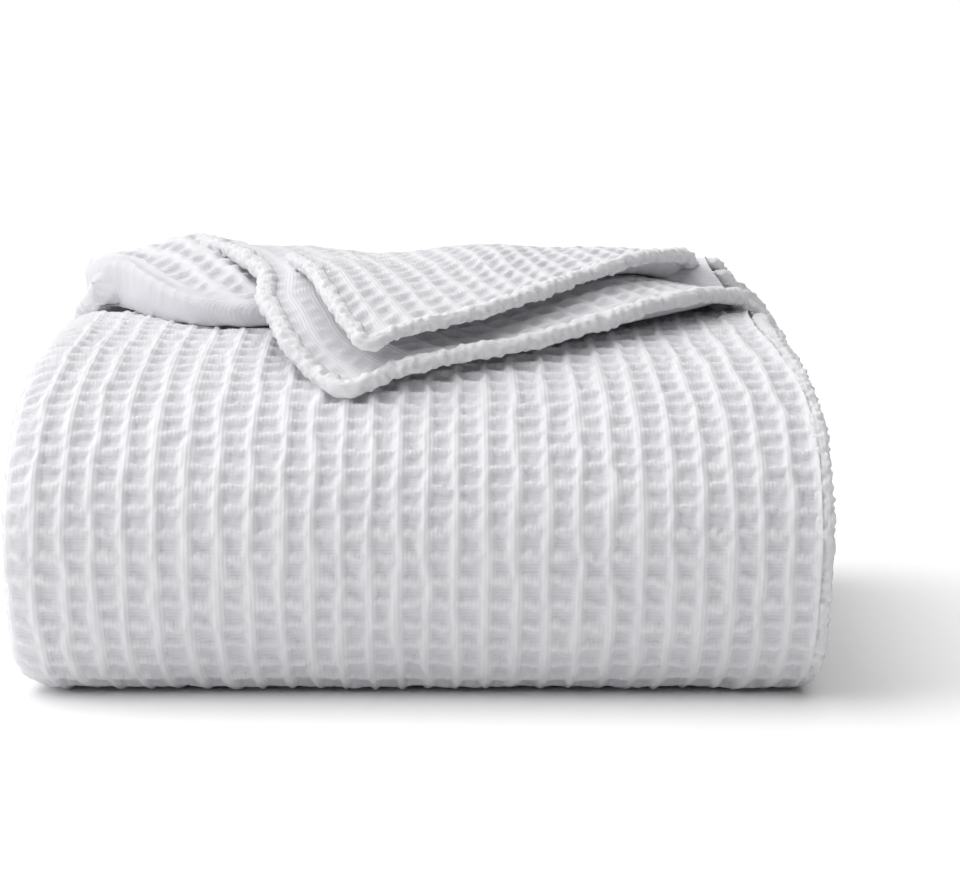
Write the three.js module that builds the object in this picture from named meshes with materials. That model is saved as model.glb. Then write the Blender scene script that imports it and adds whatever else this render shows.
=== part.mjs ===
// Folded throw blanket: one waffle-weave cotton cloth, folded in four across its width and then rolled flat.
// Millimetres, +X right, +Y back, +Z up. The pile stands on Z = 0, centred in X and Y.
import * as THREE from "three";

// --- driving dimensions -------------------------------------------------------------------------
const HALF_WIDTH = 158; // half the folded strip's width, where the pile bulges most
const FRONT_Y = -145; // foremost point of the front fold
const EYE_Z = 59.5; // height of the roll's centre line, and of that foremost point
const CREST_RISE = 72; // from the centre line to the top of the rolled part
const TOP_REACH = 160; // from the foremost point back to that crest
const TOE_REACH = 43; // from the foremost point back to where the front fold meets the floor
const HEEL_REACH = 60; // the same at the back
const ROLL_DEPTH = 279.9; // the rolled part from front to back, without the outermost back fold
const LAYER_STEP = 65; // how far a fold moves in, front to back, when the roll shrinks to nothing
const STRIP = 0.4; // a four-ply strip's thickness, as a share of the roll
const TOP_STRIP = 0.3; // the same where the outermost fold comes over the top
const GAP = 0.3; // clearance between neighbouring solids
const GAP_SHARE = GAP / EYE_Z; // the same clearance, as a share of the roll
const BACK_FULLNESS = 2.6; // exponent of the squarer back quarter
const SIDE_ROUND = 9; // radius of the folded edges at the left and right
const HEM_WIDTH = 8; // finished width of the turned hem
const HEM_HEIGHT = 7; // its puffy thickness
const PLY = 5; // one ply of the loose corner plies
const HINGE_Y = 80; // line along which the loose corner plies bend when they are lifted
const LOWER_CROWN = 4; // how far the lower and upper loose plies arch between their hems
const UPPER_CROWN = 3;

// --- materials ----------------------------------------------------------------------------------
const cotton = (color) => new THREE.MeshStandardMaterial({ color, roughness: 0.95, metalness: 0 });
const WAFFLE_COLOR = 0xf3f2f4;
const HEM_COLOR = 0xf6f5f6;

// --- the roll's outline -------------------------------------------------------------------------
// share is 1 on the outside of the rolled part and 0 at its centre line; angle runs from the back
// (0) over the top (90) to the front (180), and under it to the front toe (270).
const frontY = (share) => FRONT_Y + LAYER_STEP * (1 - share);
const crestY = (share) => frontY(share) + TOP_REACH * share;
const backY = (share) => FRONT_Y + ROLL_DEPTH - LAYER_STEP * (1 - share);

function superQuarter(angle, reach, rise, exponent) {
  const c = Math.cos(angle);
  const s = Math.sin(angle);
  const power = 2 / exponent;
  return [reach * Math.sign(c) * Math.abs(c) ** power, rise * Math.sign(s) * Math.abs(s) ** power];
}

function outline(share, degrees) {
  const angle = THREE.MathUtils.degToRad(degrees);
  const rise = CREST_RISE * share;
  const fall = EYE_Z * share;
  let center = crestY(share);
  let offset;
  if (degrees >= 90 && degrees <= 180) {
    offset = superQuarter(angle, TOP_REACH * share, rise, 2);
  } else if (degrees >= 0 && degrees < 90) {
    offset = superQuarter(angle, backY(share) - center, rise, BACK_FULLNESS);
  } else if (degrees < 0) {
    center = backY(share) - HEEL_REACH * share;
    offset = superQuarter(angle, HEEL_REACH * share, fall, 2);
  } else {
    center = frontY(share) + TOE_REACH * share;
    offset = superQuarter(angle, TOE_REACH * share, fall, 2);
  }
  return { y: center + offset[0], z: EYE_Z + offset[1] };
}

// The pile is a little narrower at the floor and at the crest than at mid height.
function halfWidth(z) {
  const below = Math.max(0, 1 - z / EYE_Z);
  const above = Math.min(1, Math.max(0, (z - EYE_Z) / CREST_RISE));
  const top = Math.max(0, z - EYE_Z - CREST_RISE);
  return HALF_WIDTH - 15 * below ** 3 - 20 * above ** 6 - 0.75 * top;
}

// --- solids from cross-sections -----------------------------------------------------------------
function loft(sections) {
  const count = sections[0].length;
  const positions = sections.flat().flatMap((p) => [p.x, p.y, p.z]);
  const index = [];
  for (let i = 0; i + 1 < sections.length; i += 1) {
    for (let j = 0; j < count; j += 1) {
      const a = i * count + j;
      const b = i * count + ((j + 1) % count);
      index.push(a, b, a + count, b, b + count, a + count);
    }
  }
  const last = (sections.length - 1) * count;
  for (let j = 1; j + 1 < count; j += 1) {
    index.push(0, j + 1, j, last, last + j, last + j + 1);
  }
  const geometry = new THREE.BufferGeometry();
  geometry.setAttribute("position", new THREE.Float32BufferAttribute(positions, 3));
  geometry.setIndex(signedVolume(positions, index) < 0 ? index.reverse() : index);
  geometry.computeVertexNormals();
  return geometry;
}

function signedVolume(positions, index) {
  const point = (i) => new THREE.Vector3().fromArray(positions, 3 * index[i]);
  let volume = 0;
  for (let i = 0; i < index.length; i += 3) {
    volume += point(i).dot(point(i + 1).cross(point(i + 2)));
  }
  return volume;
}

const range = (from, to, steps) =>
  Array.from({ length: steps + 1 }, (_, i) => from + ((to - from) * i) / steps);

// A four-ply solid from pairs of outline points, outer face first, rounded at the left and right.
function layer(pairs, hemmed = false) {
  const heights = [0, 0.15, 0.5, 0.85, 1];
  const lip = (t) => SIDE_ROUND * (1 - Math.sqrt(Math.max(0, 1 - (2 * t - 1) ** 2)));
  const rounded = heights.map((t) => [lip(t), t]);
  // Where the hems lie beside the outer half of the strip, its right edge steps in for them.
  const stepped = [[SIDE_ROUND / 2, 0], [0, 0.12], [0, 0.4], [SIDE_ROUND / 3, 0.49], [HEM_WIDTH, 0.5], [HEM_WIDTH, 1]];
  return loft(
    pairs.map(([a, b]) => {
      const at = (side, [inset, t]) => {
        const z = THREE.MathUtils.lerp(b.z, a.z, t);
        return new THREE.Vector3(side * (halfWidth(z) - inset), THREE.MathUtils.lerp(b.y, a.y, t), z);
      };
      const left = rounded.map((corner) => at(-1, corner)).reverse();
      const right = (hemmed ? stepped : rounded).map((corner) => at(1, corner));
      return [...left, ...right];
    }),
  );
}

// One stretch of the strip: outer and inner give its faces, as a share of the roll, at each angle.
function strip(angles, outer, inner, hemmed = false) {
  return layer(
    angles.map((angle) => [
      outline(outer(angle), angle),
      outline(inner(angle) + GAP_SHARE, angle),
    ]),
    hemmed,
  );
}

// A hem run along the right-hand edge of the front fold.
function edgeHem(angles, outerShare, innerShare) {
  const sides = 8;
  return loft(
    angles.map((angle) => {
      const a = outline(outerShare, angle);
      const b = outline(innerShare, angle);
      return range(0, 1 - 1 / sides, sides - 1).map((turn) => {
        const across = (HEM_WIDTH / 2 - GAP) * Math.cos(2 * Math.PI * turn);
        const t = 0.5 + 0.5 * Math.sin(2 * Math.PI * turn);
        const z = THREE.MathUtils.lerp(b.z, a.z, t);
        const x = halfWidth(z) - HEM_WIDTH / 2 + across;
        return new THREE.Vector3(x, THREE.MathUtils.lerp(b.y, a.y, t), z);
      });
    }),
  );
}

// --- loose corner plies -------------------------------------------------------------------------
const curveThrough = (points) =>
  new THREE.CatmullRomCurve3(points.map((p) => new THREE.Vector3(...p)), false, "centripetal");

// Long hem: from the corner to the right-hand edge. End hem: from the corner back to the left.
const LOWER_LONG_HEM = curveThrough([
  [-30, -95, 116], [51, -75, 129], [91, -54, 135], [114, -20, 138], [126, 25, 138], [131, 62, 137],
]);
const LOWER_END_HEM = curveThrough([
  [-30, -95, 116], [-44, -76, 124], [-58, -45, 137], [-68, 0, 147], [-84, 45, 148], [-101, 77, 147],
]);
const UPPER_LONG_HEM = curveThrough([
  [-20, -88, 133], [23, -77, 140], [72, -37, 149], [97, 10, 150], [112, 50, 148], [118, 78, 146],
]);
const UPPER_END_HEM = curveThrough([
  [-20, -88, 133], [-29, -67, 143], [-39, -44, 151], [-52, -14, 156], [-58, 35, 157], [-62, 77, 154],
]);

function hemTube(curve, from, to, steps) {
  const sides = 8;
  return loft(
    range(from, to, steps).map((t) => {
      const center = curve.getPointAt(t);
      const along = curve.getTangentAt(t);
      const across = new THREE.Vector3(0, 0, 1).cross(along).normalize();
      const up = along.clone().cross(across);
      return range(0, 1 - 1 / sides, sides - 1).map((turn) =>
        center
          .clone()
          .addScaledVector(across, (HEM_WIDTH / 2) * Math.cos(2 * Math.PI * turn))
          .addScaledVector(up, (HEM_HEIGHT / 2) * Math.sin(2 * Math.PI * turn)),
      );
    }),
  );
}

// The ply between its two hems, from near the corner back to the bend line.
function cornerPly(longHem, endHem, crown) {
  const rows = 9;
  const columns = 6;
  const rightInset = 13;
  const leftInset = 9;
  return loft(
    range(0.2, 0.97, rows).map((v) => {
      const left = endHem.getPointAt(v);
      const right = longHem.getPointAt(v);
      const across = right.clone().sub(left).setZ(0).normalize();
      left.addScaledVector(across, leftInset);
      right.addScaledVector(across, -rightInset);
      const point = (u, side) => {
        const p = left.clone().lerp(right, u);
        p.z += crown * v * Math.sin(Math.PI * u) + (side * PLY) / 2;
        return p;
      };
      const top = range(0, 1, columns).map((u) => point(u, 1));
      const bottom = range(0, 1, columns).map((u) => point(u, -1));
      return [...top, ...bottom.reverse()];
    }),
  );
}

// The two plies under the loose corner: a short front edge on the left, then square to the back.
function restingPly(level, thickness) {
  const rows = 6;
  const frontLeft = new THREE.Vector2(-92, -6);
  const frontRight = new THREE.Vector2(36, 26);
  const backLeft = new THREE.Vector2(-126, HINGE_Y);
  const backRight = new THREE.Vector2(60, HINGE_Y);
  const columns = 8;
  return loft(
    range(0, 1, rows).map((v) => {
      const left = frontLeft.clone().lerp(backLeft, v);
      const right = frontRight.clone().lerp(backRight, v);
      const point = (u, height) => {
        const p = left.clone().lerp(right, u);
        return new THREE.Vector3(p.x, p.y, topside(1, p.y) + height);
      };
      const top = range(0, 1, columns).map((u) => point(u, level + thickness));
      const bottom = range(0, 1, columns).map((u) => point(u, level));
      return [...top, ...bottom.reverse()];
    }),
  );
}

// Height of the outline's upper side above the floor, at depth y.
function topside(share, y) {
  const center = crestY(share);
  const front = y < center;
  const reach = front ? TOP_REACH * share : backY(share) - center;
  const exponent = front ? 2 : BACK_FULLNESS;
  const across = Math.min(1, Math.abs(y - center) / reach);
  return EYE_Z + CREST_RISE * share * (1 - across ** exponent) ** (1 / exponent);
}

// --- assembly -----------------------------------------------------------------------------------
const GRID = 9; // degrees between cross-sections
const END = 0.25; // degrees left between one solid's end and the next one's start
const TOE = 270;
const HEEL = -90;
const CREST = 90;
const BACK_START = 63; // where the flat upper leaves turn into the back folds
const OUTER_BACK_START = 54; // first whole cross-section of the outermost back fold

// Angles from one cross-section to another on the shared grid, held back a little at both ends.
function gridAngles(from, to) {
  const angles = range(from, to, Math.round(Math.abs(to - from) / GRID));
  const toward = Math.sign(to - from);
  angles[0] += toward * END;
  angles[angles.length - 1] -= toward * END;
  return angles;
}

const level = (share) => () => share;
// Round the back the strip comes down from one turn of the roll to the next.
function descending(from, drop = STRIP) {
  return (angle) => {
    const t = THREE.MathUtils.smoothstep(CREST - angle, 0, CREST - HEEL);
    return Math.max(0.02, from - drop * t);
  };
}

function flatLeaf(share) {
  const toe = gridAngles(TOE, TOE - GRID)[0] + END;
  const pairAt = (degrees, inward) => {
    const outer = outline(share, degrees);
    const inner = outline(share - STRIP + GAP_SHARE, degrees);
    return [{ y: outer.y + inward, z: outer.z }, { y: inner.y + inward, z: inner.z }];
  };
  return layer([pairAt(toe, GAP), pairAt(HEEL, -GAP)]);
}

// The innermost leaf fills the roll's centre as far back as the innermost fold.
function coreLeaf() {
  const share = 1 - 2 * STRIP;
  const inner = descending(share);
  const front = range(168, 72, 8).map((angle) => outline(share - GAP_SHARE, angle));
  const back = range(BACK_START, 3 * GRID, 4).map((angle) => outline(inner(angle) - 2 * GAP_SHARE, angle));
  return layer([...front, ...back].map((p) => [p, { y: p.y, z: underside(share, p.y) }]));
}

// Height of the outline's lower side at depth y.
function underside(share, y) {
  const center = frontY(share) + TOE_REACH * share;
  const across = Math.min(1, Math.max(0, center - y) / (TOE_REACH * share));
  return EYE_Z - (EYE_Z * share - GAP) * Math.sqrt(1 - across ** 2);
}

// The outermost back fold meets the loose plies at the bend line with an upright end.
function outerBackFold() {
  const outer = descending(1 + TOP_STRIP, TOP_STRIP);
  const inner = descending(1);
  const y = HINGE_Y + GAP;
  const end = [{ y, z: topside(1 + TOP_STRIP, y) }, { y, z: topside(1, y) + GAP }];
  const sections = gridAngles(OUTER_BACK_START, HEEL).map((angle) => [
    outline(outer(angle), angle),
    outline(inner(angle) + GAP_SHARE, angle),
  ]);
  return layer([end, ...sections]);
}

function rolledStrip() {
  const outer = 1;
  const inner = 1 - STRIP;
  const core = 1 - 2 * STRIP;
  const front = gridAngles(TOE, CREST + GRID);
  const upper = gridAngles(CREST + GRID, BACK_START);
  const back = gridAngles(BACK_START, HEEL);
  return {
    leaf_1_core: coreLeaf(),
    back_fold_inner: strip(back, descending(inner), descending(core)),
    leaf_2_upper: strip(upper, level(inner), level(core)),
    front_fold_inner: strip(front, level(inner), level(core)),
    leaf_3_lower: flatLeaf(inner),
    back_fold_middle: strip(back, descending(outer), descending(inner)),
    leaf_4_upper: strip(upper, level(outer), level(inner)),
    front_fold_outer: strip(front, level(outer), level(inner), true),
    leaf_5_bottom: flatLeaf(outer),
    back_fold_outer: outerBackFold(),
  };
}

function sideHems() {
  const angles = gridAngles(TOE, CREST + GRID);
  const ply = STRIP / 4;
  return {
    side_hem_outer: edgeHem(angles, 1, 1 - ply + GAP_SHARE),
    side_hem_inner: edgeHem(angles, 1 - ply, 1 - 2 * ply + GAP_SHARE),
  };
}

function restingPlies() {
  const clear = 2 * GAP;
  return {
    top_ply_lower: restingPly(clear, PLY - GAP),
    top_ply_upper: restingPly(clear + PLY, PLY - GAP),
  };
}

function looseCorner() {
  return {
    lower_flap_ply: cornerPly(LOWER_LONG_HEM, LOWER_END_HEM, LOWER_CROWN),
    lower_flap_long_hem: hemTube(LOWER_LONG_HEM, 0, 1, 12),
    lower_flap_end_hem: hemTube(LOWER_END_HEM, 0.07, 0.94, 9),
    upper_flap_ply: cornerPly(UPPER_LONG_HEM, UPPER_END_HEM, UPPER_CROWN),
    upper_flap_long_hem: hemTube(UPPER_LONG_HEM, 0, 0.97, 12),
    upper_flap_end_hem: hemTube(UPPER_END_HEM, 0.07, 0.96, 9),
  };
}

function foldedThrow() {
  const shapes = { ...rolledStrip(), ...sideHems(), ...restingPlies(), ...looseCorner() };
  const group = new THREE.Group();
  for (const [name, geometry] of Object.entries(shapes)) {
    const mesh = new THREE.Mesh(geometry, cotton(name.includes("hem") ? HEM_COLOR : WAFFLE_COLOR));
    mesh.name = name;
    group.add(mesh);
  }
  return group;
}

export default foldedThrow();
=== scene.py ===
"""A folded waffle-weave cotton throw.

One cloth, folded in four to a strip and rolled flat, with a loose corner of two plies on top. Lengths
are in millimetres until a mesh is made, and x, y and z are the frame's.
"""
import math

import bmesh
import bpy
import numpy as np
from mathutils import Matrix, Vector


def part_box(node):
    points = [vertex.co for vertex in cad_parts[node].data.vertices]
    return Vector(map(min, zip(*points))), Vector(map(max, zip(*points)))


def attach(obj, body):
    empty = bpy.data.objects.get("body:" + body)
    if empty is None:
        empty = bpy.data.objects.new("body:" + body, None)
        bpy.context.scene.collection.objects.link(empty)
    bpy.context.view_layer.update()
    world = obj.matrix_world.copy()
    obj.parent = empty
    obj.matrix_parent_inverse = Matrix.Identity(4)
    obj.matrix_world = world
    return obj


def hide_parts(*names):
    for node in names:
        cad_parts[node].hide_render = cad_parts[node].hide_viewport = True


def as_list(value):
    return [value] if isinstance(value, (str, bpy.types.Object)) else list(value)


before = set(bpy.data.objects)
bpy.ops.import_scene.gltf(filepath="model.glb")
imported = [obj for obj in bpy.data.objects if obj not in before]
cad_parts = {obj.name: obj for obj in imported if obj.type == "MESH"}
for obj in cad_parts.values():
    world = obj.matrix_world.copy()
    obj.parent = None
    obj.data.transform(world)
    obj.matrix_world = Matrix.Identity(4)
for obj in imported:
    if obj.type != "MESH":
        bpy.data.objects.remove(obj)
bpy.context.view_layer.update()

# --- sizes, in millimetres ------------------------------------------------------------------------
MM = 0.001
CELL_W = 11.5  # waffle cell across the strip
CELL_S = 9.3  # waffle cell along the strip
RIDGE_RISE = 2.7  # height of the ridges that run along the strip
CROSS_RISE = 2.2  # height of the thinner ridges across it
RIDGE_SHARE = 0.31  # half a ridge's width at its foot, as a share of a cell
CROSS_SHARE = 0.31
JOIN = 0.5  # how softly a ridge and a cross ridge meet
STRIP = 0.4  # a four-ply strip's thickness, as a share of the roll
TOP_STRIP = 0.28  # the same where the last turn ends on top
TOP_REACH = 160.0  # from the front tip back to the crest, outside
TOE_REACH = 35.0  # from the front tip back to the flat underside, outside
HEEL_REACH = 60.0  # from the back tip forward to the flat underside, outside
LAYER_STEP = 65.0  # from the outside to the centre line, front and back
BACK_FULLNESS = 2.6  # exponent of the back's upper curve; 2 is an ellipse
EYE_Z = 59.5  # height of the roll's centre line
CREST_RISE = 72.0  # from there up to the crest
ROLL_DEPTH = 280.5  # front to back, without the weave
HINGE_Y = 80.0  # the line that the loose corner bends about
FRONT_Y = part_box("front_fold_outer")[0][1] / MM
HALF_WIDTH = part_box("front_fold_outer")[1][0] / MM

# --- smooth seeded noise --------------------------------------------------------------------------


def wave_noise(seed, scale, count=9):
    """A smooth function of two lengths, about -1 to 1, made of a few sine waves."""
    rng = np.random.default_rng(seed)
    angle = rng.uniform(0, 2 * math.pi, count)
    freq = rng.uniform(0.5, 1.6, count) * 2 * math.pi / scale
    phase = rng.uniform(0, 2 * math.pi, count)

    def value(a, b):
        total = 0
        for k in range(count):
            total = total + np.sin(freq[k] * (a * np.cos(angle[k]) + b * np.sin(angle[k])) + phase[k])
        return total / math.sqrt(count)

    return value


def smooth(low, high, x):
    """0 up to low and 1 from high on, with an S curve between."""
    t = np.clip((x - low) / (high - low), 0, 1)
    return t * t * (3 - 2 * t)


shift_w = wave_noise(11, 130)
shift_s = wave_noise(12, 110)
cell_w = wave_noise(13, 17)
cell_s = wave_noise(14, 15)
swell = wave_noise(15, 60)
ripple = wave_noise(16, 11)
nubs = wave_noise(17, 4.6, 14)


def rounded(x, half_width):
    """A rounded bump, 1 at x = 0 and 0 beyond half_width."""
    return np.clip(1 - (x / half_width) ** 2, 0, 1) ** 1.3


def waffle(w, s, ridge_rise=RIDGE_RISE):
    """Relief of the weave above the cloth's middle surface, from the place on the flat cloth.

    Ridges run along s, lower bars run across them, and both wander and swell a little as woven ones do.
    """
    across = (w + 1.2 * shift_w(w, s * 0.35) + 0.75 * cell_w(w, s * 0.6)) / CELL_W
    along = (s + 0.9 * shift_s(w, s) + 0.75 * cell_s(w, s)) / CELL_S
    du = across - np.round(across)
    dv = along + 0.10 * du - np.round(along + 0.10 * du)
    uneven = ripple(w, s)
    ridge = rounded(du, RIDGE_SHARE * (1 + 0.10 * swell(w, s) + 0.10 * uneven))
    bar = rounded(dv, CROSS_SHARE * (1 + 0.12 * ripple(s, w)))
    dip = np.exp(-((dv / 0.17) ** 2))
    tuck = np.exp(-((du / 0.2) ** 2))
    floats = ridge_rise * ridge * (1 - 0.20 * dip + 0.08 * uneven)
    bars = CROSS_RISE * bar * (1 - 0.25 * tuck + 0.14 * ripple(s + 40, w))
    apart = floats - bars
    height = (floats + bars + np.sqrt(apart**2 + JOIN**2) - JOIN) / 2
    return height + 0.25 * swell(s, w)


# --- the strip's path through the roll ------------------------------------------------------------


def front_y(share):
    return FRONT_Y + LAYER_STEP * (1 - share)


def crest_y(share):
    return front_y(share) + TOP_REACH * share


def back_y(share):
    return FRONT_Y + ROLL_DEPTH - LAYER_STEP * (1 - share)


def outline(share, degrees):
    """A point (y, z) of the roll's outline. share is 1 outside and 0 at its centre line.

    Degrees run from the back (0) over the crest (90) to the front (180), and below to the toe (270);
    from -90 to 0 they run from the heel up to the back.
    """
    a = math.radians(degrees)
    c, s = math.cos(a), math.sin(a)
    if 90 <= degrees <= 180:
        return crest_y(share) + TOP_REACH * share * c, EYE_Z + CREST_RISE * share * s
    if 0 <= degrees < 90:
        power = 2 / BACK_FULLNESS
        reach = back_y(share) - crest_y(share)
        return crest_y(share) + reach * abs(c) ** power, EYE_Z + CREST_RISE * share * abs(s) ** power
    if degrees < 0:
        center = back_y(share) - HEEL_REACH * share
        return center + HEEL_REACH * share * c, EYE_Z + EYE_Z * share * s
    center = front_y(share) + TOE_REACH * share
    return center + TOE_REACH * share * c, EYE_Z + EYE_Z * share * s


def half_widths(z):
    """Distance from the middle to the pile's right and left sides at height z."""
    below = np.clip(1 - z / EYE_Z, 0, 1)
    above = np.clip((z - EYE_Z) / CREST_RISE, 0, 1)
    top = np.clip(z - EYE_Z - CREST_RISE, 0, None)
    right = HALF_WIDTH - 3 * below - 9 * below**9 - 20 * above**6 - 0.75 * top
    left = HALF_WIDTH + 2.5 - 2 * below - 10 * below**9 - 12 * above**7 - 0.5 * top
    return right, left


def fold_share(start, drop, degrees):
    """A share that drops evenly, from its start at the crest, through the fold at the back."""
    return max(0.02, start - drop * float(smooth(0, 180, 90 - degrees)))


LAST_TURN_START = 78  # degrees; just behind the crest
CORE_END = 10  # degrees; where the strip ends at the roll's centre
FOLD_STEPS, LEAF_STEPS, CORE_STEPS = 90, 120, 60


def spiral():
    """Outer and inner faces of the strip, (y, z) each, from its outer end to the roll's centre."""
    outer, inner = [], []

    def add(outer_share, inner_share, degrees):
        outer.append(outline(outer_share, degrees))
        inner.append(outline(max(0.02, inner_share), degrees))

    for turn in range(3):
        base = 1 - STRIP * turn
        top = TOP_STRIP if turn == 0 else STRIP
        start = LAST_TURN_START if turn == 0 else 90
        for degrees in np.linspace(start, -90, FOLD_STEPS):
            add(fold_share(base + top, top, degrees), fold_share(base, STRIP, degrees), degrees)
        for degrees in np.linspace(270, 90, LEAF_STEPS):
            add(base, base - STRIP, degrees)
    for degrees in np.linspace(90, CORE_END, CORE_STEPS):
        add(fold_share(base, STRIP, degrees), 0, degrees)
    return np.array(outer), np.array(inner)


outer_face, inner_face = spiral()


OUTER_PLY, SECOND_PLY, THIRD_PLY, INNER_PLY = 0.95, 0.68, 0.38, 0.08  # depths in the strip, 1 outside


def arc_length(points):
    """Distance along a curve at each of its points."""
    pieces = np.linalg.norm(np.diff(points, axis=0), axis=1)
    return np.concatenate([[0], np.cumsum(pieces)])


cover_line = inner_face + OUTER_PLY * (outer_face - inner_face)
path_s = arc_length(cover_line)


def at_path(s):
    """Outer and inner face points of the strip at length s along its outermost ply."""
    faces = (outer_face, inner_face)
    return tuple(np.stack([np.interp(s, path_s, face[:, k]) for k in (0, 1)], -1) for face in faces)


OUTER_LIP = 11.0  # radius of the outer fold along the left side
INNER_LIP = 6.0  # the same for the folds inside it
END_LIP = 9.0  # how far the last turn's end bulges
END_LIP_LENGTH = 30.0
HEM_EDGE = 4.5  # from the pile's right side in to the cloth's own edge
STRIP_THICKNESS = 26.0
RUN_STEPS, TURN_STEPS = 120, 26  # rows of each run and each fold in the section


def section():
    """The cloth's way through the strip's cross-section, as rows of (side, offset, depth).

    A point's x is side times the pile's half width there, plus offset.
    """
    rows = []

    def run(side_a, inset_a, side_b, inset_b, depth):
        for k in np.linspace(0, 1, RUN_STEPS):
            side = side_a * (1 - k) + side_b * k
            offset = -(side_a * inset_a * (1 - k) + side_b * inset_b * k)
            rows.append((side, offset, depth))

    def turn(side, inset, radius, depth_a, depth_b):
        for angle in np.linspace(0, math.pi, TURN_STEPS + 2)[1:-1]:
            depth = depth_a + (depth_b - depth_a) * (1 - math.cos(angle)) / 2
            rows.append((side, -side * (inset + radius * (1 - math.sin(angle))), depth))

    run(1, HEM_EDGE, -1, OUTER_LIP, OUTER_PLY)
    turn(-1, 0, OUTER_LIP, OUTER_PLY, INNER_PLY)
    run(-1, OUTER_LIP, 1, INNER_LIP, INNER_PLY)
    turn(1, 0, INNER_LIP, INNER_PLY, THIRD_PLY)
    run(1, INNER_LIP, -1, 2 * INNER_LIP, THIRD_PLY)
    turn(-1, INNER_LIP, INNER_LIP, THIRD_PLY, SECOND_PLY)
    run(-1, 2 * INNER_LIP, 1, HEM_EDGE, SECOND_PLY)
    return np.array(rows)


section_rows = section()
nominal_x = section_rows[:, 0] * HALF_WIDTH + section_rows[:, 1]
section_w = arc_length(np.stack([nominal_x, STRIP_THICKNESS * section_rows[:, 2]], -1))
COVER_END = section_w[RUN_STEPS + TURN_STEPS] + 6  # just past the outer fold's lip


def roll_surface(w, s):
    """Place of the cloth's middle surface for each w (across) and s (along), as a grid of points.

    Where s is below 0 the cloth turns round the strip's outer end, from its outer to its inner face.
    """
    side, offset, depth = (np.interp(w, section_w, section_rows[:, k])[None, :] for k in range(3))
    outer, inner = at_path(s)
    turned = np.clip(-s, 0, END_LIP_LENGTH) / END_LIP_LENGTH * math.pi
    depth = 0.5 + (depth - 0.5) * np.cos(turned)[:, None]
    yz = inner[:, None, :] + (outer - inner)[:, None, :] * depth[..., None]
    ahead = outer_face[0] - outer_face[1]
    ahead = ahead / np.linalg.norm(ahead)
    yz = yz + END_LIP * np.sin(turned)[:, None, None] * ahead
    right, left = half_widths(yz[..., 1])
    x = np.where(side > 0, side * right, side * left) + offset
    return np.stack([x, yz[..., 0], yz[..., 1]], -1)


# --- meshes from grids ----------------------------------------------------------------------------


def grid_normals(points):
    """Unit normals of a grid of points."""
    du = np.gradient(points, axis=1)
    dv = np.gradient(points, axis=0)
    n = np.cross(du, dv)
    return n / np.maximum(np.linalg.norm(n, axis=-1, keepdims=True), 1e-9)


def grid_faces(rows, cols, first=0):
    """Quads of a grid, row by row, whose first point has the index first."""
    index = first + np.arange(rows * cols).reshape(rows, cols)
    return np.stack([index[:-1, :-1], index[:-1, 1:], index[1:, 1:], index[1:, :-1]], -1).reshape(-1, 4)


def new_object(name, points, faces, cloth, relief):
    """A smooth mesh in metres that keeps its place on the flat cloth and its relief as attributes."""
    mesh = bpy.data.meshes.new(name)
    mesh.vertices.add(len(points))
    mesh.vertices.foreach_set("co", (points * MM).astype(np.float32).ravel())
    mesh.loops.add(faces.size)
    mesh.loops.foreach_set("vertex_index", faces.astype(np.int32).ravel())
    mesh.polygons.add(len(faces))
    mesh.polygons.foreach_set("loop_start", np.arange(0, faces.size, 4, dtype=np.int32))
    mesh.polygons.foreach_set("loop_total", np.full(len(faces), 4, np.int32))
    mesh.polygons.foreach_set("use_smooth", np.ones(len(faces), bool))
    place = mesh.attributes.new("cloth", "FLOAT_VECTOR", "POINT")
    data = np.concatenate([cloth, relief[:, None]], 1) / CELL_W
    place.data.foreach_set("vector", data.astype(np.float32).ravel())
    mesh.update(calc_edges=True)
    mesh.validate()
    drop_loose_points(mesh)
    obj = bpy.data.objects.new(name, mesh)
    bpy.context.scene.collection.objects.link(obj)
    return obj


def drop_loose_points(mesh):
    """Removes points that no face uses."""
    work = bmesh.new()
    work.from_mesh(mesh)
    loose = [v for v in work.verts if not v.link_faces]
    if loose:
        bmesh.ops.delete(work, geom=loose, context="VERTS")
        work.to_mesh(mesh)
    work.free()


WEAVE_MIDDLE = 0.55  # height of the cloth's middle surface in the relief, as a share of RIDGE_RISE


def open_sheet(name, surface, w, s, facing, keep=None, calm=None):
    """A one-sided stretch of cloth whose weave stands out on the side given by facing.

    calm(W, S), if given, is the share of the weave's relief that shows.
    """
    base = surface(w, s)
    W, S = np.meshgrid(w, s)
    relief = waffle(W, S) if calm is None else calm(W, S) * waffle(W, S)
    points = base - facing * grid_normals(base) * (relief - WEAVE_MIDDLE * RIDGE_RISE)[..., None]
    faces = grid_faces(len(s), len(w))
    if facing > 0:
        faces = faces[:, ::-1]
    if keep is not None:
        middle_w = (w[:-1] + w[1:]) / 2
        middle_s = (s[:-1] + s[1:]) / 2
        faces = faces[keep(*np.meshgrid(middle_w, middle_s)).ravel()]
    cloth = np.stack([W.ravel(), S.ravel()], -1)
    return new_object(name, points.reshape(-1, 3), faces, cloth, relief.ravel())


# --- materials ------------------------------------------------------------------------------------


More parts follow.
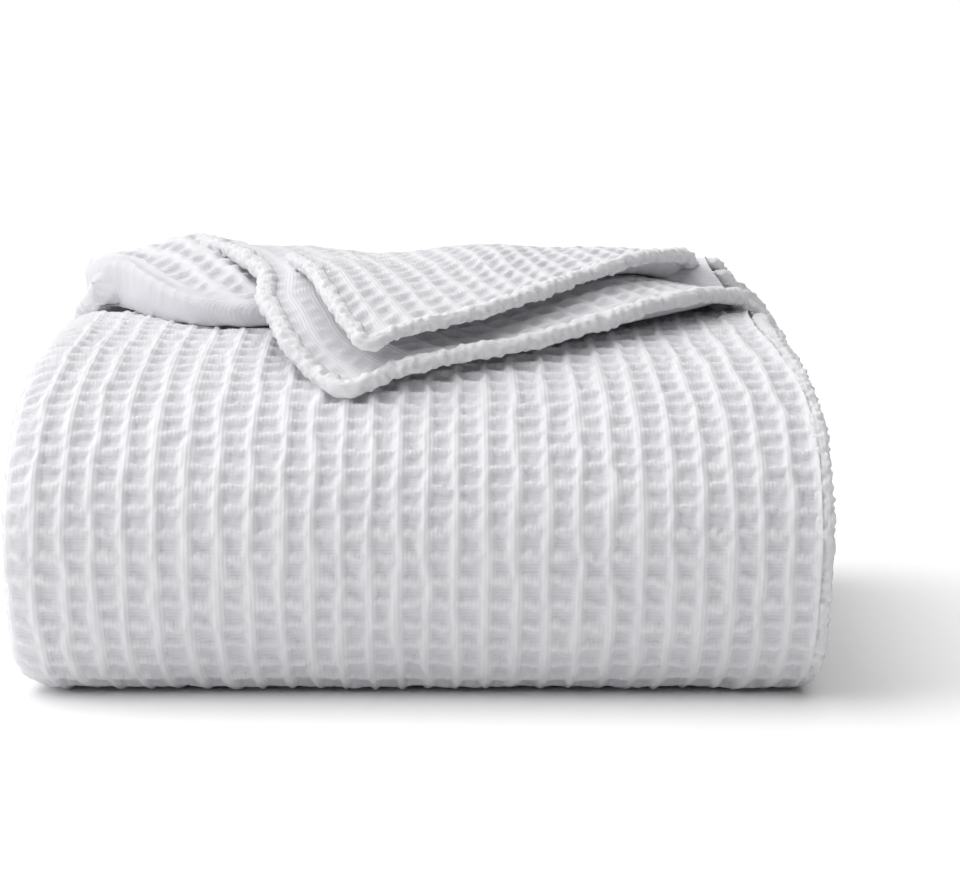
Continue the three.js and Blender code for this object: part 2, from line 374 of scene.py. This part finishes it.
def cotton_material(name, color, thread_scale):
    """Matt woven cotton: threads that turn from across in the pockets to along on the ridges, and fuzz, with
    painted shade that darkens the pockets.

    Its nodes read the mesh's place on the flat cloth, in cells, with the relief as the third number. A
    thread_scale of 2.2 gives about 7 threads to a cell.
    """
    material = bpy.data.materials.new(name)
    material.use_nodes = True
    tree = material.node_tree
    shader = tree.nodes["Principled BSDF"]
    shader.inputs["Roughness"].default_value = 0.92
    shader.inputs["Sheen Weight"].default_value = 0.25
    shader.inputs["Sheen Roughness"].default_value = 0.6
    shader.inputs["Specular IOR Level"].default_value = 0.2
    place = tree.nodes.new("ShaderNodeAttribute")
    place.attribute_name = "cloth"
    split = tree.nodes.new("ShaderNodeSeparateXYZ")
    tree.links.new(place.outputs["Vector"], split.inputs[0])

    def threads(axis, count):
        wave = tree.nodes.new("ShaderNodeTexWave")
        wave.wave_type = "BANDS"
        wave.bands_direction = axis
        wave.inputs["Scale"].default_value = count
        wave.inputs["Distortion"].default_value = 1.5
        wave.inputs["Detail"].default_value = 2
        wave.inputs["Detail Scale"].default_value = 1.5
        tree.links.new(place.outputs["Vector"], wave.inputs["Vector"])
        return wave

    along = threads("X", thread_scale)
    across = threads("Y", thread_scale * 1.15)
    high = tree.nodes.new("ShaderNodeMapRange")
    high.inputs["From Min"].default_value = 0.02
    high.inputs["From Max"].default_value = 0.16
    tree.links.new(split.outputs["Z"], high.inputs["Value"])
    mix = tree.nodes.new("ShaderNodeMix")
    tree.links.new(high.outputs["Result"], mix.inputs[0])
    tree.links.new(across.outputs["Fac"], mix.inputs[2])
    tree.links.new(along.outputs["Fac"], mix.inputs[3])
    fuzz = tree.nodes.new("ShaderNodeTexNoise")
    fuzz.inputs["Scale"].default_value = 14
    fuzz.inputs["Detail"].default_value = 5
    tree.links.new(place.outputs["Vector"], fuzz.inputs["Vector"])
    total = tree.nodes.new("ShaderNodeMath")
    total.operation = "ADD"
    tree.links.new(mix.outputs[0], total.inputs[0])
    tree.links.new(fuzz.outputs["Fac"], total.inputs[1])
    bump = tree.nodes.new("ShaderNodeBump")
    bump.inputs["Strength"].default_value = 0.22
    bump.inputs["Distance"].default_value = 0.0006
    tree.links.new(total.outputs[0], bump.inputs["Height"])
    tree.links.new(bump.outputs["Normal"], shader.inputs["Normal"])
    # painted shade: the pockets of the weave are coloured about 10% darker and a little bluer than the
    # ridges, standing in for the shade that falls in them
    painted_shade_mix = tree.nodes.new("ShaderNodeMix")
    painted_shade_mix.data_type = "RGBA"
    painted_pocket_shade = [color[0] * 0.90, color[1] * 0.90, color[2] * 0.915]
    painted_shade_mix.inputs[6].default_value = painted_pocket_shade + [1]
    painted_shade_mix.inputs[7].default_value = list(color) + [1]
    tree.links.new(high.outputs["Result"], painted_shade_mix.inputs[0])
    tree.links.new(painted_shade_mix.outputs[2], shader.inputs["Base Color"])
    return material


waffle_material = cotton_material("waffle_cloth", (0.735, 0.73, 0.755), 2.2)
hem_material = cotton_material("hem", (0.745, 0.74, 0.76), 3.0)


def finish_piece(obj, material, body):
    """Gives a piece its material and the body that it rides on."""
    obj.data.materials.append(material)
    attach(obj, body)
    return obj


# --- the rolled pile ------------------------------------------------------------------------------
ROLL = "rolled_pile"
heel_s = path_s[FOLD_STEPS - 1]
toe_s = path_s[FOLD_STEPS]
crest_s = path_s[FOLD_STEPS + LEAF_STEPS - 1]
under_corner_s = crest_s + 70  # far enough back to be hidden by the loose corner


def steps(low, high, size):
    """Evenly spaced values from low to high, about size apart."""
    return np.linspace(low, high, max(2, int(round((high - low) / size)) + 1))


def end_calm(w, s):
    """The weave fades where the last turn's end is tucked in."""
    return 1 - 0.7 * smooth(2, -10, s)


def cover(name, s_low, s_high, quad_w, quad_s):
    """A stretch of the strip's outermost ply, from s_low to s_high along it."""
    w = steps(0, COVER_END, quad_w)
    s = steps(s_low, s_high, quad_s)
    sheet = open_sheet(name, roll_surface, w, s, 1, calm=end_calm)
    return finish_piece(sheet, waffle_material, ROLL)


front_cover = cover("front_cover", toe_s + 1, under_corner_s, 1.2, 1.2)
bottom_cover = cover("bottom_cover", heel_s - 1, toe_s + 2, 4, 4)
back_cover = cover("back_cover", -END_LIP_LENGTH, heel_s, 1.6, 1.5)
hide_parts("front_fold_outer", "leaf_4_upper")
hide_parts("leaf_5_bottom")
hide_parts("back_fold_outer")


def inner_roll():
    """The rest of the same cloth: the three plies inside the cover, and every ply of the inner turns."""
    lips = [section_w[RUN_STEPS + k * (RUN_STEPS + TURN_STEPS)] for k in range(3)]
    fine = [steps(c - 14, c + 34, 2.2) for c in lips]
    w = np.unique(np.concatenate([steps(0, section_w[-1], CELL_W)] + fine))
    s = steps(0, path_s[-1], 3.6)

    def inside(W, S):
        return (W > COVER_END - 3) | (S > under_corner_s - 3)

    return open_sheet("inner_plies", roll_surface, w, s, 1, keep=inside)


inner_plies = inner_roll()
finish_piece(inner_plies, waffle_material, ROLL)
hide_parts("leaf_1_core", "back_fold_inner", "leaf_2_upper")
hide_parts("front_fold_inner", "leaf_3_lower", "back_fold_middle")

# --- curves and hems ------------------------------------------------------------------------------


def smooth_curve(points, spacing=1.0):
    """A Catmull-Rom curve through the points, resampled evenly."""
    p = np.array(points, float)
    p = np.vstack([2 * p[0] - p[1], p, 2 * p[-1] - p[-2]])
    parts = []
    for i in range(1, len(p) - 2):
        t = np.linspace(0, 1, 40, endpoint=False)[:, None]
        a, b, c, d = p[i - 1 : i + 3]
        square = (2 * a - 5 * b + 4 * c - d) * t**2
        cube = (3 * b - a - 3 * c + d) * t**3
        parts.append(0.5 * (2 * b + (c - a) * t + square + cube))
    parts.append(p[-2][None])
    return resample(np.vstack(parts), spacing)


def resample(curve, spacing):
    """The same curve with evenly spaced points."""
    length = arc_length(curve)
    at = steps(0, length[-1], spacing)
    return np.stack([np.interp(at, length, curve[:, k]) for k in range(curve.shape[1])], -1)


STITCH = 3.9  # length of a hem stitch
HEM_SIDES = 24
HEM_TAPER = 3.5  # length over which a hem's end closes


def hem_relief(turn, s):
    """The pinched look of a turned hem: dents where each stitch pulls it in, on both faces."""
    stitches = np.cos(2 * math.pi * s / STITCH + 1.2 * cell_s(s, turn)) * np.cos(2 * turn + 0.5)
    uneven = 0.36 * nubs(s, 4 * turn) + 0.30 * ripple(s, 5 * turn)
    return 0.22 * stitches + uneven + 0.30 * swell(s * 1.7, turn)


def hem_tube(name, curve, half_width, half_height, outward=None, spacing=0.8):
    """A puffy closed tube along a curve; outward is the direction of its width, or None for level."""
    curve = resample(np.array(curve), spacing)
    along = np.gradient(curve, axis=0)
    along /= np.linalg.norm(along, axis=1, keepdims=True)
    wide = np.cross([0, 0, 1.0], along) if outward is None else np.cross(np.cross(along, outward), along)
    wide /= np.linalg.norm(wide, axis=1, keepdims=True)
    high = np.cross(along, wide)
    turn = np.linspace(0, 2 * math.pi, HEM_SIDES, endpoint=False)
    s = arc_length(curve)
    T, S = np.meshgrid(turn, s)
    taper = np.sqrt(np.clip(np.minimum(s, s[-1] - s) / HEM_TAPER, 0.02, 1))[:, None]
    relief = hem_relief(T, S)
    c, sn = np.cos(T), np.sin(T)
    a = np.sign(c) * np.abs(c) ** 0.8 * (half_width + relief) * taper
    b = np.sign(sn) * np.abs(sn) ** 0.8 * (half_height + relief) * taper
    points = curve[:, None] + wide[:, None] * a[..., None] + high[:, None] * b[..., None]
    rows = len(curve)
    index = np.arange(rows * HEM_SIDES).reshape(rows, HEM_SIDES)
    nxt = np.roll(index, -1, axis=1)
    faces = np.stack([index[:-1], nxt[:-1], nxt[1:], index[1:]], -1).reshape(-1, 4)
    cloth = np.stack([(T * half_width).ravel(), S.ravel()], -1)
    obj = new_object(name, points.reshape(-1, 3), faces, cloth, relief.ravel() + 1.6)
    close_ends(obj, rows, HEM_SIDES)
    return obj


def close_ends(obj, rows, sides):
    """Closes a tube's two ends with a face each."""
    mesh = bmesh.new()
    mesh.from_mesh(obj.data)
    mesh.verts.ensure_lookup_table()
    mesh.faces.new([mesh.verts[i] for i in range(sides)][::-1])
    mesh.faces.new([mesh.verts[(rows - 1) * sides + i] for i in range(sides)])
    bmesh.ops.recalc_face_normals(mesh, faces=mesh.faces)
    mesh.to_mesh(obj.data)
    mesh.free()


SIDE_HEM_INSET = 3.5
SIDE_HEM_SIZE = (3.6, 2.7)  # half width and half height


def side_hem(name, depth, s_low, s_high):
    """The hem along the strip's right-hand edge, at a depth in the strip, round the roll."""
    outer, inner = at_path(steps(s_low, s_high, 1.5))
    yz = inner + (outer - inner) * depth
    x = half_widths(yz[:, 1])[0] - SIDE_HEM_INSET
    curve = np.stack([x, yz[:, 0], yz[:, 1]], -1)
    return hem_tube(name, curve, *SIDE_HEM_SIZE, outward=np.array([1.0, 0, 0]))


side_hem_end = path_s[-1] - 40  # the hems stop inside the core
outer_side_hem = side_hem("side_hem_of_outer_ply", 0.85, 2, side_hem_end)
inner_side_hem = side_hem("side_hem_of_second_ply", 0.62, 2, side_hem_end)
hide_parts("side_hem_outer")
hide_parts("side_hem_inner")
for hem in (outer_side_hem, inner_side_hem):
    finish_piece(hem, hem_material, ROLL)

# --- loose corner plies ---------------------------------------------------------------------------


def height_field(points):
    """A smooth height over the plan through the given (x, y, z) points (a thin plate)."""
    p = np.array(points, float)

    def kernel(x, y):
        r2 = (x[..., None] - p[:, 0]) ** 2 + (y[..., None] - p[:, 1]) ** 2
        return 0.5 * r2 * np.log(r2 + 1e-6)

    n = len(p)
    flat = np.column_stack([np.ones(n), p[:, 0], p[:, 1]])
    system = np.block([[kernel(p[:, 0], p[:, 1]), flat], [flat.T, np.zeros((3, 3))]])
    weights = np.linalg.solve(system, np.concatenate([p[:, 2], np.zeros(3)]))

    def height(x, y):
        return kernel(x, y) @ weights[:n] + weights[n] + weights[n + 1] * x + weights[n + 2] * y

    return height


# Points that the two plies pass through: each long hem and each end hem from the corner back to the
# bend, and places between them.
LOWER_CORNER = (-30, -95, 115)
LOWER_LONG = [LOWER_CORNER, (-8, -84, 123), (16, -72, 127), (41, -60, 130), (73, -38, 136), (93, -20, 140)]
LOWER_LONG += [(114, 5, 141), (129, 36, 137), (134, 60, 133), (136, 90, 126)]
LOWER_END = [LOWER_CORNER, (-42, -80, 121), (-53, -66, 131), (-59, -48, 139), (-64, -30, 144), (-65, -5, 150)]
LOWER_END += [(-71, 15, 153), (-82, 40, 156), (-95, 62, 156), (-104, 76, 151), (-109, 90, 138)]
LOWER_MIDDLE = [(0, 0, 147), (45, 15, 147), (0, 60, 149), (70, 60, 144), (-40, 50, 154), (20, -60, 128)]
LOWER_MIDDLE += [(-50, 76, 149), (-50, 90, 137), (0, 90, 136), (70, 90, 134)]
UPPER_CORNER = (-22, -88, 132)
UPPER_LONG = [UPPER_CORNER, (-9, -78, 137), (16, -62, 141), (35, -48, 145), (54, -26, 149), (74, -2, 153)]
UPPER_LONG += [(89, 18, 155), (102, 38, 154), (112, 60, 150), (118, 90, 134)]
UPPER_END = [UPPER_CORNER, (-29, -74, 140), (-38, -50, 149), (-44, -25, 154), (-52, 10, 154)]
UPPER_END += [(-60, 50, 152), (-63, 70, 150), (-65, 90, 138)]
UPPER_MIDDLE = [(10, -20, 151), (-10, 20, 153), (10, 20, 155), (31, 20, 157), (53, 25, 155)]
UPPER_MIDDLE += [(20, 66, 152), (80, 62, 152), (20, 90, 137), (80, 90, 136), (-20, 90, 138)]
BACK_LIMIT_Y = HINGE_Y + 9  # where the loose plies end, sunk in the roll's back
PLY_CLEARANCE = 2.0  # between a loose ply's full underside and what lies under it


def roll_top(x, y):
    """Height of the roll's top under the loose corner."""
    ahead = np.clip((crest_y(1) - y) / TOP_REACH, 0, 1)
    return EYE_Z + CREST_RISE * np.sqrt(1 - ahead**2) + np.where(y > 60, 8, 0)


def surface_area(grid):
    """Area of a grid of points, in square metres."""
    across = grid[1:, 1:] - grid[:-1, :-1]
    back = grid[1:, :-1] - grid[:-1, 1:]
    return 0.5 * np.linalg.norm(np.cross(across, back), axis=-1).sum() * MM * MM


def corner_surface(long_points, end_points, middle):
    """The loose ply between its hems, as a function of distances a along the long hem and b along the end."""
    long_curve = smooth_curve(long_points)
    end_curve = smooth_curve(end_points)
    height = height_field(long_points + end_points[1:] + middle)

    def place(a, b):
        x = np.interp(a, arc_length(long_curve), long_curve[:, 0])
        y = np.interp(a, arc_length(long_curve), long_curve[:, 1])
        x = x + np.interp(b, arc_length(end_curve), end_curve[:, 0]) - long_curve[0, 0]
        y = y + np.interp(b, arc_length(end_curve), end_curve[:, 1]) - long_curve[0, 1]
        return np.stack([x, y, height(x, y)], -1)

    return place, arc_length(long_curve)[-1], arc_length(end_curve)[-1]


def corner_ply(name, long_points, end_points, middle, back_y_limit, below, slack, calm, quad=1.35):
    """A closed two-sided ply from its hems back to just past the bend line.

    slack(A, B) is how far the ply's underside sags onto the surface below, from 0 to 1, and calm(A) is the
    share of the weave's relief that shows on top.
    """
    place, long_length, end_length = corner_surface(long_points, end_points, middle)
    a = steps(1.0, long_length - 2, quad)
    depth = np.linspace(0, 1, int(end_length / quad))
    probe = np.linspace(0, end_length, 400)
    reach = np.array([np.interp(back_y_limit, place(np.full(400, v), probe)[:, 1], probe) for v in a])
    A = np.repeat(a[None, :], len(depth), 0)
    B = 1.0 + depth[:, None] * np.maximum(reach - 1.0, 0.5)[None, :]
    base = place(A, B)
    normal = grid_normals(base)
    normal *= np.sign(normal[..., 2:])
    top = base + normal * (0.7 * calm(A) * waffle(A, B, CROSS_RISE) + 0.4)[..., None]
    bottom = base - normal * (0.4 * waffle(A + CELL_W / 2, B + CELL_S / 2) + 0.4)[..., None]
    room = bottom[..., 2] - below(bottom[..., 0], bottom[..., 1]) - PLY_CLEARANCE
    bottom[..., 2] -= slack(A, B) * np.maximum(room, 0)
    rows, cols = A.shape
    upper = grid_faces(rows, cols)
    lower = grid_faces(rows, cols, rows * cols)[:, ::-1]
    index = np.arange(rows * cols).reshape(rows, cols)
    rim = np.concatenate([index[0, :-1], index[:-1, -1], index[-1, :0:-1], index[:0:-1, 0]])
    after = np.roll(rim, -1)
    skirt = np.stack([after, rim, rim + rows * cols, after + rows * cols], -1)
    points = np.concatenate([top.reshape(-1, 3), bottom.reshape(-1, 3)])
    cloth = np.tile(np.stack([A.ravel(), B.ravel()], -1), (2, 1))
    relief = np.tile(waffle(A, B).ravel(), 2)
    ply = new_object(name, points, np.concatenate([upper, lower, skirt]), cloth, relief)
    return ply, (long_length * MM, end_length * MM), surface_area(base)


def corner_hem(name, long_points, end_points, half_width, half_height):
    """One hem that runs up the long edge, turns at the corner and runs back along the end."""
    long_curve = smooth_curve(long_points)
    end_curve = smooth_curve(end_points)
    path = np.vstack([long_curve[::-1][:-3], end_curve[3:]])
    kernel = np.ones(5) / 5
    padded = np.vstack([np.repeat(path[:1], 2, 0), path, np.repeat(path[-1:], 2, 0)])
    path = np.stack([np.convolve(padded[:, k], kernel, "valid") for k in range(3)], -1)
    return hem_tube(name, path, half_width, half_height)


def lower_slack(a, b):
    return 0.95 * smooth(0, 9, b) * smooth(50, 110, a)


def upper_slack(a, b):
    far = smooth(110, 150, a)
    near = smooth(6, 34, b) * smooth(30, 80, a) * (1 - far)
    return 0.93 * (near + smooth(0, 14, b) * far)


def lower_calm(a):
    return 0.4 + 0.6 * smooth(24, 44, a)


def upper_calm(a):
    return 1.0


def loose_corner(prefix, body, points, below, slack, calm, hem_size, rests_on):
    """One ply of the loose corner and its hem. points are its long hem's, its end hem's and its middle's."""
    long_points, end_points, middle = points
    name = prefix + "_cloth"
    ply, flat, area = corner_ply(name, long_points, end_points, middle, BACK_LIMIT_Y, below, slack, calm)
    hem = corner_hem(prefix + "_hem", long_points, end_points, *hem_size)
    finish_piece(ply, waffle_material, body)
    finish_piece(hem, hem_material, body)
    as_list(rests_on)
    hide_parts(body + "_ply")
    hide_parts(body + "_long_hem", body + "_end_hem")
    return ply


lower_points = (LOWER_LONG, LOWER_END, LOWER_MIDDLE)
upper_points = (UPPER_LONG, UPPER_END, UPPER_MIDDLE)
lower_top = height_field(LOWER_LONG + LOWER_END[1:] + LOWER_MIDDLE)
lower_look = (roll_top, lower_slack, lower_calm, (3.9, 3.3))
lower_corner = loose_corner("lower_corner", "lower_flap", lower_points, *lower_look, [front_cover])
upper_look = (lower_top, upper_slack, upper_calm, (3.2, 2.9))
upper_corner = loose_corner("upper_corner", "upper_flap", upper_points, *upper_look, [lower_corner])

# --- the folded plies under the corner ------------------------------------------------------------
# The folded edge, the end behind it (x and y only) and places on top between the two.
SHOULDER_EDGE = [(-150, 90, 140), (-141, 62, 145), (-129, 44, 147), (-118, 20, 144), (-101, -4, 139)]
SHOULDER_EDGE += [(-86, -13, 137), (-66, -16, 136), (-25, -12, 136), (25, -4, 136), (70, 25, 136)]
SHOULDER_EDGE += [(84, 92, 128)]
SHOULDER_BACK = [(-148, 98), (-60, 103), (30, 103), (86, 99)]
SHOULDER_TOP = [(-147, 86, 145), (-123, 58, 152), (-113, 68, 156), (-102, 78, 157), (-110, 24, 149)]
SHOULDER_TOP += [(-95, 20, 149), (-80, 10, 147), (-70, 0, 143), (0, 10, 139), (-60, 60, 150), (60, 70, 142)]
SHOULDER_TOP += [(-146, 100, 132), (-103, 102, 132), (-60, 86, 143), (-60, 103, 131), (40, 86, 137)]
SHOULDER_TOP += [(40, 103, 130), (92, 98, 130)]
SHOULDER_TURN = 0.55  # direction of the cloth's ribs, in radians from x
SHOULDER_LIP = 5.0  # radius of the folded edge, and how far its front leans back
SHOULDER_FRONT = 14  # length of cloth down the front


def shoulder_fold():
    """The folded plies that show left of the loose corner, with the fold towards the front."""
    edge = smooth_curve(SHOULDER_EDGE, 1.4)
    back = smooth_curve(SHOULDER_BACK, 0.5)
    along = np.linspace(0, 1, len(edge))
    behind = np.stack([np.interp(along, np.linspace(0, 1, len(back)), back[:, k]) for k in (0, 1)], -1)
    run = behind - edge[:, :2]
    reach = np.linalg.norm(run, axis=1)
    inward = run / reach[:, None]
    lip = SHOULDER_LIP
    face = np.linspace(1, 0, 9)[:-1]
    turn = np.linspace(0, math.pi / 2, 7)[:-1]
    flat = np.linspace(0, 1, 80)
    top_height = height_field(SHOULDER_TOP)
    foot = EYE_Z + CREST_RISE - 2

    def row(inset, z):
        """Points inset from the edge towards the end behind it, at heights z."""
        plan = edge[:, :2] + inward * np.broadcast_to(inset, reach.shape)[:, None]
        return np.column_stack([plan, z])

    rows = []
    for share in face:
        sink = share * math.pi / 2
        rows.append(row(lip * (1 - math.cos(sink)), edge[:, 2] + (foot - edge[:, 2]) * math.sin(sink)))
    rows += [row(lip * (1 - math.cos(a)), edge[:, 2] + lip * math.sin(a)) for a in turn]
    for share in flat:
        inset = lip + np.maximum(reach - lip, 1) * share
        blend = smooth(0, 30, inset - lip)
        plan = row(inset, edge[:, 2])
        height = (1 - blend) * (edge[:, 2] + lip) + blend * top_height(plan[:, 0], plan[:, 1])
        rows.append(np.column_stack([plan[:, :2], height]))
    base = np.array(rows)
    behind_edge = np.concatenate([face * -SHOULDER_FRONT, np.zeros(len(turn)), flat * 100])[:, None]
    c, s = math.cos(SHOULDER_TURN), math.sin(SHOULDER_TURN)
    U = base[..., 0] * c + base[..., 1] * s + np.minimum(behind_edge, 0)
    V = base[..., 1] * c - base[..., 0] * s
    calm = 0.2 + 0.8 * smooth(2, 16, np.broadcast_to(behind_edge, U.shape))
    relief = calm * waffle(U, V)
    points = base + grid_normals(base) * (relief - 0.3 * RIDGE_RISE)[..., None]
    cloth = np.stack([U.ravel(), V.ravel()], -1)
    faces = grid_faces(*U.shape)
    sheet = new_object("shoulder_fold", points.reshape(-1, 3), faces, cloth, relief.ravel())
    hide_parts("top_ply_lower", "top_ply_upper")
    return finish_piece(sheet, waffle_material, ROLL)


shoulder_fold()

# --- floor, lights and camera ---------------------------------------------------------------------


def make_stage():
    """A plain pale floor."""
    mesh = bpy.data.meshes.new("floor")
    reach = 30  # metres
    corners = [(-reach, -reach, 0), (reach, -reach, 0), (reach, reach, 0), (-reach, reach, 0)]
    mesh.from_pydata(corners, [], [(0, 1, 2, 3)])
    floor = bpy.data.objects.new("floor", mesh)
    bpy.context.scene.collection.objects.link(floor)
    material = bpy.data.materials.new("pale_floor")
    material.use_nodes = True
    shader = material.node_tree.nodes["Principled BSDF"]
    shader.inputs["Base Color"].default_value = (0.97, 0.97, 0.97, 1)
    shader.inputs["Roughness"].default_value = 0.8
    floor.data.materials.append(material)


def make_lights():
    """Soft light from all round, strongest from the left, with two wide suns and a low fill at the left.

    The camera sees the surroundings as plain white.
    """
    world = bpy.data.worlds.new("studio")
    world.use_nodes = True
    tree = world.node_tree
    place = tree.nodes.new("ShaderNodeTexCoord")
    split = tree.nodes.new("ShaderNodeSeparateXYZ")
    side = tree.nodes.new("ShaderNodeMapRange")
    side.inputs["From Min"].default_value = -1
    side.inputs["To Min"].default_value = 0.50
    side.inputs["To Max"].default_value = 0.12
    tree.links.new(place.outputs["Generated"], split.inputs[0])
    tree.links.new(split.outputs["X"], side.inputs["Value"])
    seen = tree.nodes.new("ShaderNodeLightPath")
    pick = tree.nodes.new("ShaderNodeMix")
    tree.links.new(seen.outputs["Is Camera Ray"], pick.inputs["Factor"])
    tree.links.new(side.outputs["Result"], pick.inputs["A"])
    pick.inputs["B"].default_value = 1
    tree.links.new(pick.outputs["Result"], tree.nodes["Background"].inputs["Strength"])
    tree.nodes["Background"].inputs["Color"].default_value = (1, 1, 1, 1)
    bpy.context.scene.world = world
    for name, energy, angle, direction in (
        ("key", 1.35, 66, (1.0, -0.35, -1.15)),
        ("top", 1.6, 90, (0.1, -0.12, -1.0)),
    ):
        data = bpy.data.lights.new(name, "SUN")
        data.energy = energy
        data.angle = math.radians(angle)
        place_light(data, (0, 0, 1), direction)
    data = bpy.data.lights.new("fill", "AREA")
    data.size = 0.4
    data.energy = 1.1
    place_light(data, (-0.58, -0.5, 0.42), (0.58, 0.42, -0.34))


def place_light(data, location, direction):
    """Puts a light at a place, in metres, shining in the direction given."""
    light = bpy.data.objects.new(data.name, data)
    light.location = location
    light.rotation_euler = Vector(direction).to_track_quat("-Z", "Y").to_euler()
    bpy.context.scene.collection.objects.link(light)


def make_camera():
    """The photograph's view: straight from the front and 9 degrees up."""
    data = bpy.data.cameras.new("camera")
    data.sensor_width = 36
    data.lens = 144
    camera = bpy.data.objects.new("camera", data)
    elevation = math.radians(9)
    distance = 1.6  # metres
    aim = (0.023, 0, 0.0823)
    back, up = distance * math.cos(elevation), distance * math.sin(elevation)
    camera.location = (aim[0], aim[1] - back, aim[2] + up)
    camera.rotation_euler = (math.pi / 2 - elevation, 0, 0)
    bpy.context.scene.collection.objects.link(camera)
    bpy.context.scene.camera = camera


make_stage()
make_lights()
make_camera()
bpy.context.scene.view_settings.view_transform = "Standard"
